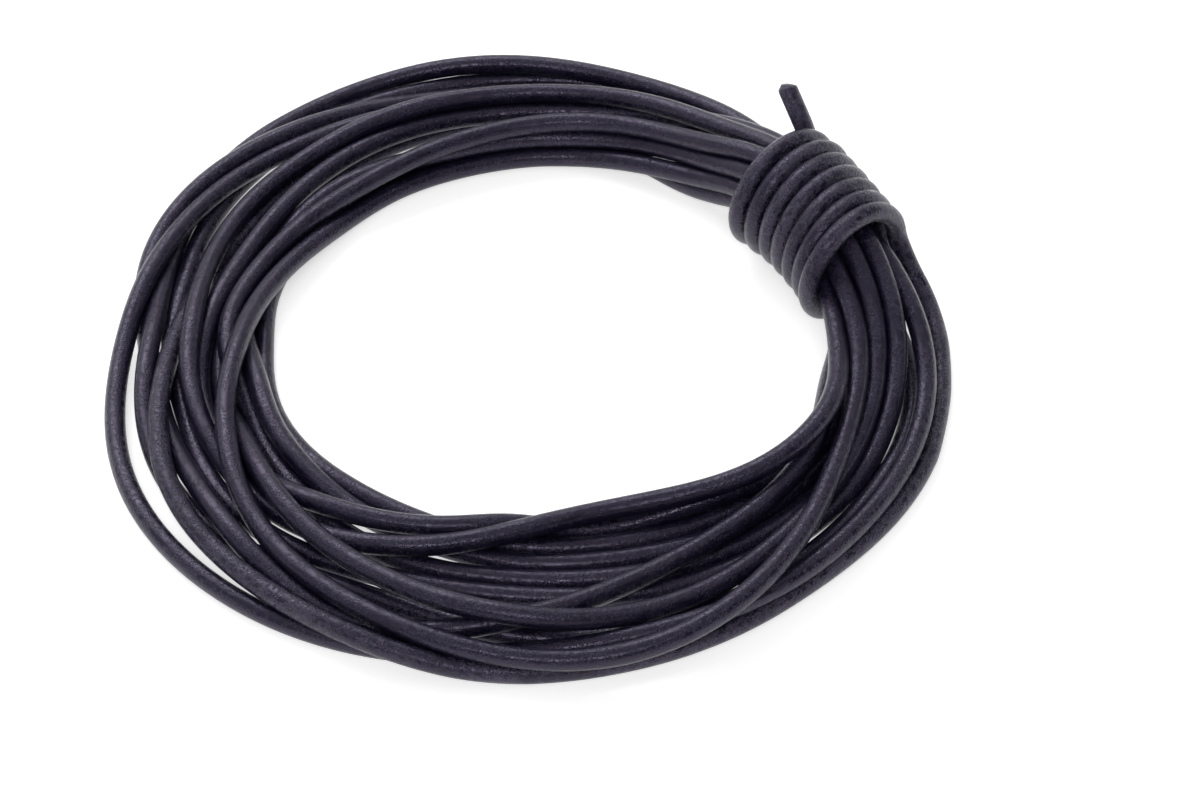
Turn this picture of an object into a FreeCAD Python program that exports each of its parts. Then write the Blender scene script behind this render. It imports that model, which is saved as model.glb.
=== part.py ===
import FreeCAD, Part
import math
import os

# A hank of round leather cord, wound into a ring and tied with its own end.
#
# The cord is one length. It starts straight under the binding, spirals in over
# the table on the lower level, climbs at the innermost loop and spirals out
# again on the upper level. Its last loop comes down loosely outside the others.
# From there a short lead rises beside the bundle, the binding winds round all
# the loops, and the end of the cord stands free.
#
# The ring is two levels deep. At its waist, under the binding, the outer lanes
# lie on top of the inner ones, so the bundle there is about as high as wide.

# Driving dimensions, in millimetres, degrees and counts

DIMENSIONS = {
    "cord_diameter": 3.0,
    "turn_gap": 0.55,
    "lanes": 6,
    "inner_loop_radius": 40.0,
    "flat_depth": 0.5,
    "waist_azimuth": 26.0,
    "waist_radius": 46.5,
    "shoulder_angle": 52.0,
    "flat_angle": 100.0,
    "loose_loop_offset": 4.0,
    "loose_loop_end_angle": 300.0,
    "binding_turns": 7,
    "binding_clearance": 0.4,
    "binding_corner_radius": 4.0,
    "start_end_length": 18.0,
    "tail_end_length": 6.0,
}

doc = FreeCAD.newDocument("leather_cord_hank")
sheet = doc.addObject("Spreadsheet::Sheet", "dimensions")
for row, (name, value) in enumerate(DIMENSIONS.items(), start=1):
    sheet.set(f"A{row}", name)
    sheet.set(f"B{row}", str(value))
    sheet.setAlias(f"B{row}", name)
doc.recompute()


def dimension(name):
    """A driving dimension, read from the sheet."""
    return float(sheet.get(name))


CORD = dimension("cord_diameter")
PITCH = CORD + dimension("turn_gap")
LANES = int(dimension("lanes"))
LEVELS = 2
LOOPS = LEVELS * LANES
INNER_RADIUS = dimension("inner_loop_radius")
TABLE_Z = CORD / 2 - dimension("flat_depth")
WAIST_RADIUS = dimension("waist_radius")
SHOULDER = math.radians(dimension("shoulder_angle"))
FLAT = math.radians(dimension("flat_angle"))
BINDING_TURNS = int(dimension("binding_turns"))
CORNER_RADIUS = dimension("binding_corner_radius")

# At the waist two blocks of lanes lie one on the other.
BLOCKS = 2
WAIST_COLUMNS = LANES // BLOCKS
WAIST_ROWS = LEVELS * BLOCKS

# The binding is a helix with rounded corners round the waist. It clears the
# loops by the clearance at its corners, and its lowest point is on the table.
CORNER_INSET = (CORNER_RADIUS - CORD - dimension("binding_clearance")) / math.sqrt(2)
BINDING_HALF_WIDTH = PITCH * (WAIST_COLUMNS - 1) / 2 - CORNER_INSET + CORNER_RADIUS
BINDING_HALF_HEIGHT = PITCH * (WAIST_ROWS - 1) / 2 - CORNER_INSET + CORNER_RADIUS
BINDING_HALF_LENGTH = BINDING_TURNS * PITCH / 2
BINDING_Z = CORD / 2 + BINDING_HALF_HEIGHT
WAIST_Z = BINDING_Z - PITCH * (WAIST_ROWS - 1) / 2
WAIST_HALF_LENGTH = BINDING_HALF_LENGTH + CORD / 2

# The waist is this far out of the flat ring. At a shoulder each side of the
# binding the loops keep a share of that shift, and lose it at a rate per radian.
WAIST_SHIFT = math.hypot(WAIST_RADIUS, WAIST_HALF_LENGTH) - INNER_RADIUS - PITCH * (WAIST_COLUMNS - 1) / 2
SHOULDER_SHARE = 0.89
SHOULDER_SHIFT = SHOULDER_SHARE * WAIST_SHIFT
SHOULDER_SETTLING = 1.8

# The outer block slides over the inner one there: lanes out and levels up from
# the flat ring, and the slopes in millimetres per radian.
INNER_BLOCK = {"lanes_out": 0.0, "levels_up": 0.12, "outward": 0.0, "upward": -3.4}
OUTER_BLOCK = {"lanes_out": -0.35, "levels_up": 1.93, "outward": 13.6, "upward": -10.0}

# The loop that climbs turns back this many lanes inside the innermost one,
# where its climb is this many times the mean.
TURN_BACK_LANES = 0.65
CLIMB_STEEPNESS = 2.2

# The loose loop first leaves the wound ones by this many lanes and levels.
LOOSE_START_LANES = 0.6
LOOSE_START_LEVEL = 0.85
LOOSE_START_OUTWARD = 2.0
LOOSE_START_UPWARD = -3.0

# The lead isn't cut flat, so it lies this much above the table.
LEAD_LIFT = 0.2

# The way the tail points once it is free of the binding.
TAIL_LEAN = FreeCAD.Vector(-0.25, 0.6, 0.65).normalize()

# An arc of a free stretch takes this share of the shorter run beside it.
ARC_SHARE = 0.45

# Two nodes whose directions leave their chord by less than this are in line.
IN_LINE = 1e-9

UP = FreeCAD.Vector(0, 0, 1)
ALONG_WAIST = FreeCAD.Vector(0, 1, 0)
INWARD = FreeCAD.Vector(-1, 0, 0)


# Where the loops lie

def polar(radius, angle, height):
    return FreeCAD.Vector(radius * math.cos(angle), radius * math.sin(angle), height)


def heading_at(angle, radius, outward=0.0, upward=0.0):
    """The direction of travel at an angle, with slopes in mm per radian."""
    around = polar(radius, angle + math.pi / 2, 0)
    return (around + polar(outward, angle, upward)).normalize()


def lane_and_level(crossing):
    """The cord's lane and level in the ring each time it passes the waist."""
    if crossing < LANES:
        return LANES - 1 - crossing, 0
    return crossing - LANES, 1


def lane_radius(lane):
    return INNER_RADIUS + PITCH * lane


def level_height(level):
    return TABLE_Z + PITCH * level


def waist_node(crossing, side):
    """Where the cord enters (side -1) or leaves (side 1) the straight run at the waist."""
    lane, level = lane_and_level(crossing)
    block, column = divmod(lane, WAIST_COLUMNS)
    out = WAIST_RADIUS + PITCH * (column - (WAIST_COLUMNS - 1) / 2)
    height = WAIST_Z + PITCH * (level + LEVELS * block)
    return FreeCAD.Vector(out, side * WAIST_HALF_LENGTH, height), ALONG_WAIST


def shoulder_node(crossing, side):
    lane, level = lane_and_level(crossing)
    block = OUTER_BLOCK if lane >= WAIST_COLUMNS else INNER_BLOCK
    radius = lane_radius(lane + block["lanes_out"]) + SHOULDER_SHIFT
    height = level_height(level + block["levels_up"])
    outward = block["outward"] - SHOULDER_SETTLING * SHOULDER_SHIFT
    angle = side * SHOULDER
    heading = heading_at(angle, radius, side * outward, side * block["upward"])
    return polar(radius, angle, height), heading


def flat_node(crossing, side):
    lane, level = lane_and_level(crossing)
    radius = lane_radius(lane)
    angle = side * FLAT
    return polar(radius, angle, level_height(level)), heading_at(angle, radius)


def far_node(crossing):
    """Opposite the waist, half a lane on, or half a level up where the spiral turns back."""
    lane, level = lane_and_level(crossing)
    next_lane, next_level = lane_and_level(crossing + 1)
    half_lap = math.pi - FLAT
    if level == next_level:
        radius = lane_radius((lane + next_lane) / 2)
        drift = PITCH * (next_lane - lane) / 2 / half_lap
        return polar(radius, math.pi, level_height(level)), heading_at(math.pi, radius, drift)
    radius = lane_radius(lane - TURN_BACK_LANES)
    climb = CLIMB_STEEPNESS * PITCH / 2 / half_lap
    height = level_height((level + next_level) / 2)
    return polar(radius, math.pi, height), heading_at(math.pi, radius, 0, climb)


def loop_nodes(crossing):
    """One loop, from where it leaves the binding to where it enters it again."""
    return [
        waist_node(crossing, 1),
        shoulder_node(crossing, 1),
        flat_node(crossing, 1),
        far_node(crossing),
        flat_node(crossing + 1, -1),
        shoulder_node(crossing + 1, -1),
        waist_node(crossing + 1, -1),
    ]


def loose_loop_nodes(crossing):
    """The last loop, which comes down on the table outside the rest."""
    outer = lane_radius(LANES - 1)
    leaving = outer + PITCH * LOOSE_START_LANES
    loose = outer + dimension("loose_loop_offset")
    end_angle = math.radians(dimension("loose_loop_end_angle"))
    end = polar(loose, end_angle, CORD / 2 + LEAD_LIFT)
    heading = heading_at(end_angle, loose)
    return [
        waist_node(crossing, 1),
        shoulder_node(crossing, 1),
        (polar(leaving, FLAT, level_height(LOOSE_START_LEVEL)),
         heading_at(FLAT, leaving, LOOSE_START_OUTWARD, LOOSE_START_UPWARD)),
        (polar(loose, math.pi, level_height(0)), heading_at(math.pi, loose)),
        (polar(loose, -FLAT, level_height(0)), heading_at(-FLAT, loose)),
        (end - heading * CORD, heading),
        (end, heading),
    ]


def coil_nodes():
    """All the loops, with the cord straight for its own diameter at each end."""
    first, heading = waist_node(0, 1)
    nodes = [(first - heading * CORD, heading)]
    for crossing in range(LOOPS - 1):
        nodes += loop_nodes(crossing)
    return nodes + loose_loop_nodes(LOOPS - 1)


# The binding and the free stretches

def binding_nodes():
    """Turns round the waist: up the outer side, over the top and down the inner side."""
    side_x = BINDING_HALF_WIDTH - CORNER_RADIUS
    side_z = BINDING_HALF_HEIGHT - CORNER_RADIUS
    corner = CORNER_RADIUS * math.pi / 2
    lap = 4 * (side_x + side_z + corner)
    lean = PITCH / lap

    def node(across, travelled, height, direction):
        out = WAIST_RADIUS + across
        place = FreeCAD.Vector(out, travelled * lean - BINDING_HALF_LENGTH, BINDING_Z + height)
        return place, (direction + ALONG_WAIST * lean).normalize()

    # Each corner: the side before it, where it starts and ends, and its two directions.
    corners = [
        (side_z, (BINDING_HALF_WIDTH, side_z), (side_x, BINDING_HALF_HEIGHT), UP, INWARD),
        (2 * side_x, (-side_x, BINDING_HALF_HEIGHT), (-BINDING_HALF_WIDTH, side_z), INWARD, -UP),
        (2 * side_z, (-BINDING_HALF_WIDTH, -side_z), (-side_x, -BINDING_HALF_HEIGHT), -UP, -INWARD),
        (2 * side_x, (side_x, -BINDING_HALF_HEIGHT), (BINDING_HALF_WIDTH, -side_z), -INWARD, UP),
    ]
    nodes = [node(BINDING_HALF_WIDTH, 0, 0, UP)]
    for turn in range(BINDING_TURNS):
        travelled = turn * lap
        for side, start, end, before, after in corners:
            travelled += side
            nodes.append(node(start[0], travelled, start[1], before))
            travelled += corner
            nodes.append(node(end[0], travelled, end[1], after))
    nodes.append(node(BINDING_HALF_WIDTH, BINDING_TURNS * lap, 0, UP))
    return nodes


def lead_route(start, start_heading, end, end_heading):
    """From the loose loop along the table, beside the bundle, and up to the binding."""
    def beside(out, along, rise):
        return FreeCAD.Vector(end.x + out, end.y + along, start.z + rise)

    return [
        start,
        start + start_heading * 10.0,
        beside(-5.7, -26.1, 0.0),
        beside(-1.0, -14.1, 0.1),
        beside(-0.1, -6.5, 0.4),
        beside(0.0, -2.5, 2.4),
        end - end_heading * CORD,
        end,
    ]


def tail_route(start, heading):
    """Up the outer side of the binding, then free, leaning back over the bundle."""
    bend = start + heading * (BINDING_HALF_HEIGHT - CORD)
    return [start, bend, bend + TAIL_LEAN * dimension("tail_end_length")]


# Wires and tubes

def arc_from(start, direction, end):
    """The arc that leaves start in a direction and reaches end, and its radius."""
    chord = end - start
    cosine = direction.dot(chord) / chord.Length
    middle = start + (direction * chord.Length + chord) / (2 * (1 + cosine))
    return Part.Arc(start, middle, end), chord.Length / (2 * math.sqrt(1 - cosine ** 2))


def biarc(first, second):
    """Two arcs that leave one node and reach the next in their directions, or one line."""
    (start, leaving), (end, arriving) = first, second
    chord = end - start
    if chord.cross(leaving).Length + chord.cross(arriving).Length < IN_LINE * chord.Length:
        return [Part.LineSegment(start, end)], math.inf
    reach = chord.dot(leaving + arriving)
    spread = 2 * (1 - leaving.dot(arriving))
    handle = chord.dot(chord) / (reach + math.sqrt(reach ** 2 + spread * chord.dot(chord)))
    before, after = start + leaving * handle, end - arriving * handle
    joint = (before + after) / 2
    first_arc, first_radius = arc_from(start, leaving, joint)
    second_arc, second_radius = arc_from(joint, (after - before).normalize(), end)
    return [first_arc, second_arc], min(first_radius, second_radius)


def wound_path(nodes):
    """A wire through nodes, each a point and a direction, and its tightest radius."""
    curves, tightest = [], math.inf
    for first, second in zip(nodes, nodes[1:]):
        pair, radius = biarc(first, second)
        curves += pair
        tightest = min(tightest, radius)
    return Part.Wire([curve.toShape() for curve in curves]), tightest


def free_path(route):
    """Straight runs joined by arcs as large as the runs allow, and the arcs' radii."""
    curves, radii, at = [], [], route[0]
    for before, corner, after in zip(route, route[1:], route[2:]):
        arriving, leaving = corner - before, after - corner
        setback = ARC_SHARE * min(arriving.Length, leaving.Length)
        arriving.normalize()
        leaving.normalize()
        arc_start = corner - arriving * setback
        arc, radius = arc_from(arc_start, arriving, corner + leaving * setback)
        curves += [Part.LineSegment(at, arc_start), arc]
        radii.append(radius)
        at = corner + leaving * setback
    curves.append(Part.LineSegment(at, route[-1]))
    return Part.Wire([curve.toShape() for curve in curves]), radii


def points_on(wire, step=0.5):
    points = []
    for edge in wire.OrderedEdges:
        points += edge.discretize(Number=int(edge.Length / step) + 3)[:-1]
    return points + [wire.OrderedVertexes[-1].Point]


def least_gap(points, others=None):
    """The least air between a tube and itself, or between two tubes, up to one cord."""
    reach = 2 * CORD
    lap = 4 * CORD

    def cell_of(point):
        return tuple(math.floor(value / reach) for value in point)

    cells = {}
    for index, point in enumerate(others or points):
        cells.setdefault(cell_of(point), []).append((index, point))
    step = (points[1] - points[0]).Length
    least = reach
    for index, point in enumerate(points):
        x, y, z = cell_of(point)
        around = [(x + i, y + j, z + k) for i in (-1, 0, 1) for j in (-1, 0, 1) for k in (-1, 0, 1)]
        for cell in around:
            for other, place in cells.get(cell, ()):
                if others or abs(other - index) * step > lap:
                    least = min(least, (point - place).Length)
    return least - CORD


def cord_tube(name, wire):
    """A stretch of the cord along a wire."""
    path = doc.addObject("Part::Feature", f"{name}_path")
    path.Shape = wire
    start = wire.OrderedVertexes[0].Point
    ahead = points_on(wire)[1] - start
    section = doc.addObject("Part::Circle", f"{name}_section")
    section.setExpression("Radius", "dimensions.cord_diameter / 2")
    section.Placement = FreeCAD.Placement(start, FreeCAD.Rotation(UP, ahead))
    tube = doc.addObject("Part::Sweep", name)
    tube.Sections = [section]
    tube.Spine = (path, [])
    tube.Solid = True
    tube.Frenet = False
    tube.Transition = "Transformed"
    return tube


# The routes, in the ring's own frame: the ring's middle is the origin, the
# table is at Z 0, and the cord passes the waist along +Y on the +X side.

coil = coil_nodes()
binding = binding_nodes()
lead = lead_route(*coil[-1], *binding[0])
tail = tail_route(*binding[-1])

coil_wire, coil_tightest = wound_path(coil)
binding_wire, binding_tightest = wound_path(binding)
lead_wire, lead_radii = free_path(lead)
tail_wire, tail_radii = free_path(tail)

coil_points = points_on(coil_wire)
binding_points = points_on(binding_wire)
lead_points = points_on(lead_wire)
tail_points = points_on(tail_wire)

print(f"coil_loops: {LOOPS} loops, {coil_wire.Length:.0f} mm, tightest radius {coil_tightest:.1f} mm, "
      f"least gap to itself {least_gap(coil_points):.2f} mm")
print(f"binding_turns: {BINDING_TURNS} turns, {binding_wire.Length:.0f} mm, "
      f"tightest radius {binding_tightest:.1f} mm, least gap to itself {least_gap(binding_points):.2f} mm, "
      f"to the loops {least_gap(binding_points, coil_points):.2f} mm")
print(f"binding_lead: {lead_wire.Length:.0f} mm, arc radii", [round(radius, 1) for radius in lead_radii])
print(f"free_tail: {tail_wire.Length:.0f} mm, arc radii", [round(radius, 1) for radius in tail_radii],
      f"least gap to the loops {least_gap(tail_points, coil_points):.2f} mm")

# The ring turns to put the binding at its azimuth, and moves to put the middle
# of its footprint on the origin.
turn = FreeCAD.Rotation(UP, dimension("waist_azimuth"))
footprint = [turn.multVec(point) for point in coil_points + binding_points + lead_points + tail_points]
east, north = [point.x for point in footprint], [point.y for point in footprint]
middle = FreeCAD.Vector((min(east) + max(east)) / 2, (min(north) + max(north)) / 2, 0)
PLACE = FreeCAD.Placement(-middle, turn)
print(f"ring's middle at {-middle.x:.2f}, {-middle.y:.2f}")


# The coil of loops, cut flat where it lies on the table

coil_tube = cord_tube("coil_tube", coil_wire)
above_table = doc.addObject("Part::Box", "above_table")
for side in ("Length", "Width", "Height"):
    above_table.setExpression(side, "8 * dimensions.inner_loop_radius")
doc.recompute()
above_table.Placement.Base = FreeCAD.Vector(-above_table.Length / 2, -above_table.Width / 2, 0)
coil_loops = doc.addObject("Part::Common", "coil_loops")
coil_loops.Base = coil_tube
coil_loops.Tool = above_table


# The lead, the binding and the free tail

binding_lead = cord_tube("binding_lead", lead_wire)
binding_turns = cord_tube("binding_turns", binding_wire)
free_tail = cord_tube("free_tail", tail_wire)


# The cord's beginning, straight under the binding and up to the first loop

first_place, first_heading = coil[0]
starting_end = doc.addObject("Part::Cylinder", "starting_end")
starting_end.setExpression("Radius", "dimensions.cord_diameter / 2")
starting_end.setExpression("Height", "dimensions.start_end_length")
doc.recompute()

for piece in (coil_loops, binding_lead, binding_turns, free_tail):
    piece.Placement = PLACE
start_place = first_place - first_heading * dimension("start_end_length")
starting_end.Placement = PLACE * FreeCAD.Placement(start_place, FreeCAD.Rotation(UP, first_heading))
doc.recompute()


# Checks, then one file for each stretch of the cord

PIECES = [coil_loops, binding_lead, binding_turns, free_tail, starting_end]
failed = [item.Name for item in doc.Objects if {"Invalid", "Error"} & set(item.State)]
for piece in PIECES:
    piece.Label = piece.Name
    if piece.Shape.isNull() or not piece.Shape.isValid() or len(piece.Shape.Solids) != 1:
        failed.append(piece.Label)
if failed:
    raise RuntimeError(f"not built: {failed}")

section_area = math.pi * CORD ** 2 / 4
swept = {coil_tube: coil_wire, binding_lead: lead_wire, binding_turns: binding_wire, free_tail: tail_wire}
for tube, wire in swept.items():
    share = tube.Shape.Volume / (section_area * wire.Length)
    print(f"{tube.Name}: its volume is {share:.4f} of its section times its length")
cord_length = dimension("start_end_length") + sum(wire.Length for wire in swept.values())
print(f"whole cord: {cord_length / 1000:.2f} m")

os.makedirs("parts", exist_ok=True)
for piece in PIECES:
    piece.Shape.exportStep(f"parts/{piece.Label}.step")
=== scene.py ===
"""A small hank of round black leather cord, bound with its own end.

One cord runs through everything. It starts inside the tie, makes twelve loops
that cross over each other on the table, climbs into the tie, wraps seven
turns round all the strands, and ends in a short tail that stands up.

The loops are laid out from the photograph and then settle on the table
and on each other. Sizes are in metres, except in the layout tables, which
are in millimetres and say so.
"""

import logging
import math
from dataclasses import dataclass, field
from enum import Enum

import bpy
import numpy as np
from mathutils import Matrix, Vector


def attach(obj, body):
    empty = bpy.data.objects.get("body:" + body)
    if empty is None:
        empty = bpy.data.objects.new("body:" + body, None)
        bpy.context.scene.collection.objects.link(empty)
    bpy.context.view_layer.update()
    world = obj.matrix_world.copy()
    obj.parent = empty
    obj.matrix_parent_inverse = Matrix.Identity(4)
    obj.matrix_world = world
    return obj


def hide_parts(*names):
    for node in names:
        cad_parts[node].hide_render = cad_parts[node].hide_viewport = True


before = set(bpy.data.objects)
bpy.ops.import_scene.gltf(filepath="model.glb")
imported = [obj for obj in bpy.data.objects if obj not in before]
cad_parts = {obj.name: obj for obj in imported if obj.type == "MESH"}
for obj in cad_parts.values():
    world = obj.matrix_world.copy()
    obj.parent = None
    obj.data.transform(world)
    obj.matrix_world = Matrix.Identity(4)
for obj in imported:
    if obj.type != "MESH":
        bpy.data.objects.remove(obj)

LOG = logging.getLogger("leather_cord_hank")
MM = 0.001
BODY = "root"
CORD_DIAMETER = 3.0 * MM
# The middle of the loops' outline, in the row frame.
RING_MIDDLE = np.array([0.95, 0.13, 0.0]) * MM
# The colour sockets of a Mix node, whose names its number sockets also have.
MIX_UNDER, MIX_OVER, MIX_RESULT = 6, 7, 2


class TiePlace(Enum):
    """Where a strand crosses inside the tie: steps out from its axis, and degrees."""

    CORE_OUT = (1, 0.0)
    CORE_UP = (1, 120.0)
    CORE_DOWN = (1, 240.0)
    OUT = (2, 20.0)
    OUT_UP = (2, 60.0)
    TOP = (2, 100.0)
    IN_UP = (2, 140.0)
    IN = (2, 180.0)
    IN_DOWN = (2, 220.0)
    BOTTOM = (2, 260.0)
    OUT_DOWN = (2, 300.0)
    OUT_LOW = (2, 340.0)


class CordPart(Enum):
    """The runs of the cord that are made as pieces of their own."""

    LOWER_LOOPS = "lower_loops"
    UPPER_LOOPS = "upper_loops"
    BINDING = "binding"


@dataclass(frozen=True)
class Loop:
    """One turn of the hank, as it shows from the camera.

    Attributes:
        leaves: Its place in the tie where it starts.
        returns: Its place in the tie where it ends, or None for the last loop.
        reach: Millimetres from the ring's middle to the strand where it
            shows, at each of the hank's stations, read at sight height.
        tier: How many cords lie under it there before it settles.
    """

    leaves: TiePlace
    returns: TiePlace | None
    reach: tuple[float, ...]
    tier: tuple[float, ...]


LOOPS = (
    Loop(TiePlace.CORE_OUT, TiePlace.TOP,
         (50.8, 50.1, 47.9, 45.9, 44.9, 44.4, 44.4, 44.4,
          45.0, 48.6, 51.2, 54.9, 56.4, 54.4, 52.2, 51.2),
         (1.5, 1, 0.5, 0, 0, 0, 0, 0.3, 1.5, 2, 2, 2, 2, 2, 1.5, 3)),
    Loop(TiePlace.TOP, TiePlace.OUT_LOW,
         (49.3, 48.0, 44.9, 42.4, 40.9, 41.0, 42.6, 43.4,
          43.4, 46.2, 48.4, 48.2, 50.2, 52.4, 52.5, 52.9),
         (4, 3, 2, 1.5, 1, 1, 1, 0.7, 0, 0, 0, 0, 0, 0, 0, 1.2)),
    Loop(TiePlace.OUT_LOW, TiePlace.OUT_DOWN,
         (55.3, 57.0, 59.4, 59.9, 59.5, 57.8, 55.2, 54.0,
          58.2, 57.4, 54.7, 59.2, 59.4, 58.9, 57.6, 56.8),
         (2, 2, 1.5, 1, 1, 1, 0, 0, 0, 0, 0, 0, 0, 0, 0, 0)),
    Loop(TiePlace.OUT_DOWN, TiePlace.OUT_UP,
         (51.5, 54.5, 56.0, 56.0, 55.0, 53.9, 52.8, 51.8,
          52.2, 53.4, 50.9, 51.2, 53.6, 54.8, 54.6, 54.1),
         (0.5, 0, 0, 0, 0, 0, 0, 0, 0, 0, 0, 0, 0, 0, 0.8, 2)),
    Loop(TiePlace.OUT_UP, TiePlace.IN,
         (53.6, 53.7, 52.7, 52.1, 51.0, 50.2, 49.3, 49.6,
          50.6, 49.1, 45.2, 38.6, 37.3, 40.9, 45.5, 46.2),
         (3.5, 3, 2.5, 2, 2, 1.5, 1.5, 1.5, 1, 0.6, 2.6, 3, 1.6, 1.5, 2, 2.5)),
    Loop(TiePlace.IN, TiePlace.IN_UP,
         (42.3, 41.9, 37.8, 36.3, 37.3, 37.6, 39.9, 43.3,
          48.2, 53.8, 57.8, 62.1, 62.1, 56.2, 50.6, 48.0),
         (3, 3, 2, 1, 1, 1, 2, 2.5, 3, 3, 3, 3, 3, 3, 3, 4)),
    Loop(TiePlace.IN_UP, TiePlace.CORE_UP,
         (45.8, 44.0, 41.5, 40.7, 40.9, 41.2, 41.3, 40.9,
          41.2, 41.9, 43.0, 44.5, 46.3, 48.9, 49.6, 49.4),
         (3, 2, 1, 0, 0, 0, 0, 0.8, 0.8, 0.6, 0.2, 0, 0, 0, 0, 0.5)),
    Loop(TiePlace.CORE_UP, TiePlace.OUT,
         (52.0, 51.5, 50.0, 50.6, 53.8, 56.9, 56.4, 59.5,
          63.4, 64.3, 63.7, 61.6, 60.9, 60.6, 59.6, 58.8),
         (1, 0.5, 0.5, 0.7, 1, 2, 2, 1, 0, 0, 0, 0, 0.3, 0.8, 1, 2)),
    Loop(TiePlace.OUT, TiePlace.IN_DOWN,
         (52.4, 53.0, 51.7, 49.5, 47.0, 44.8, 45.4, 47.0,
          47.5, 44.2, 41.2, 41.2, 41.2, 43.7, 46.8, 47.4),
         (1.5, 2, 1.5, 1.5, 1, 1, 1, 1, 1, 1, 0.5, 0, 0, 0, 0.4, 1)),
    Loop(TiePlace.IN_DOWN, TiePlace.CORE_DOWN,
         (38.6, 39.9, 40.2, 39.0, 38.5, 38.2, 40.1, 39.6,
          39.8, 40.2, 40.4, 43.0, 44.4, 45.9, 48.0, 47.4),
         (1, 0, 0, 0, 0, 0, 0, 0, 0, 0, 0, 0, 0, 0, 0, 0)),
    Loop(TiePlace.CORE_DOWN, TiePlace.BOTTOM,
         (52.0, 52.2, 52.0, 54.0, 57.3, 58.2, 54.8, 54.0,
          54.0, 57.0, 60.4, 55.0, 50.2, 47.7, 47.6, 46.6),
         (1, 0.5, 0, 0.6, 1, 1, 0, 0, 0.5, 0.4, 1, 1, 1.5, 1.5, 1, 1)),
    Loop(TiePlace.BOTTOM, None,
         (49.0, 49.5, 49.5, 48.8, 48.2, 47.4, 49.0, 53.0,
          58.3, 60.0, 62.1, 62.3, 63.5, 61.9, 62.3, 60.8),
         (0.5, 0, 0, 0, 0, 0, 0.3, 1, 1, 1, 1, 1, 0.3, 0, 0, 0)),
)


@dataclass
class Sight:
    """The camera of the photograph, looking along +Y at the hank."""

    elevation: float = 46.0
    distance: float = 0.450
    focal_pixels: float = 3060.0
    frame_pixels: tuple[float, float] = (1200.0, 800.0)
    middle_shows_at: tuple[float, float] = (528.0, 352.0)
    sensor: float = 36.0
    clip: tuple[float, float] = (0.01, 20.0)

    def place(self) -> np.ndarray:
        """Work out where the camera stands.

        Returns:
            The camera's place in the row frame, in metres.
        """
        tilt = math.radians(self.elevation)
        back = np.array([0.0, -math.cos(tilt), math.sin(tilt)])
        up = np.array([0.0, math.sin(tilt), math.cos(tilt)])
        right = np.array([1.0, 0.0, 0.0])
        across = (self.middle_shows_at[0] - self.frame_pixels[0] / 2) / self.focal_pixels
        down = (self.middle_shows_at[1] - self.frame_pixels[1] / 2) / self.focal_pixels
        return RING_MIDDLE - (across * right - down * up - back) * self.distance

    def build(self) -> None:
        """Add the camera and make it the scene's."""
        lens = bpy.data.cameras.new("sight")
        lens.sensor_width = self.sensor
        lens.lens = self.focal_pixels / self.frame_pixels[0] * self.sensor
        lens.clip_start, lens.clip_end = self.clip
        camera = bpy.data.objects.new("sight", lens)
        camera.location = self.place()
        camera.rotation_euler = (math.radians(90.0 - self.elevation), 0.0, 0.0)
        bpy.context.scene.collection.objects.link(camera)
        bpy.context.scene.camera = camera


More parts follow.
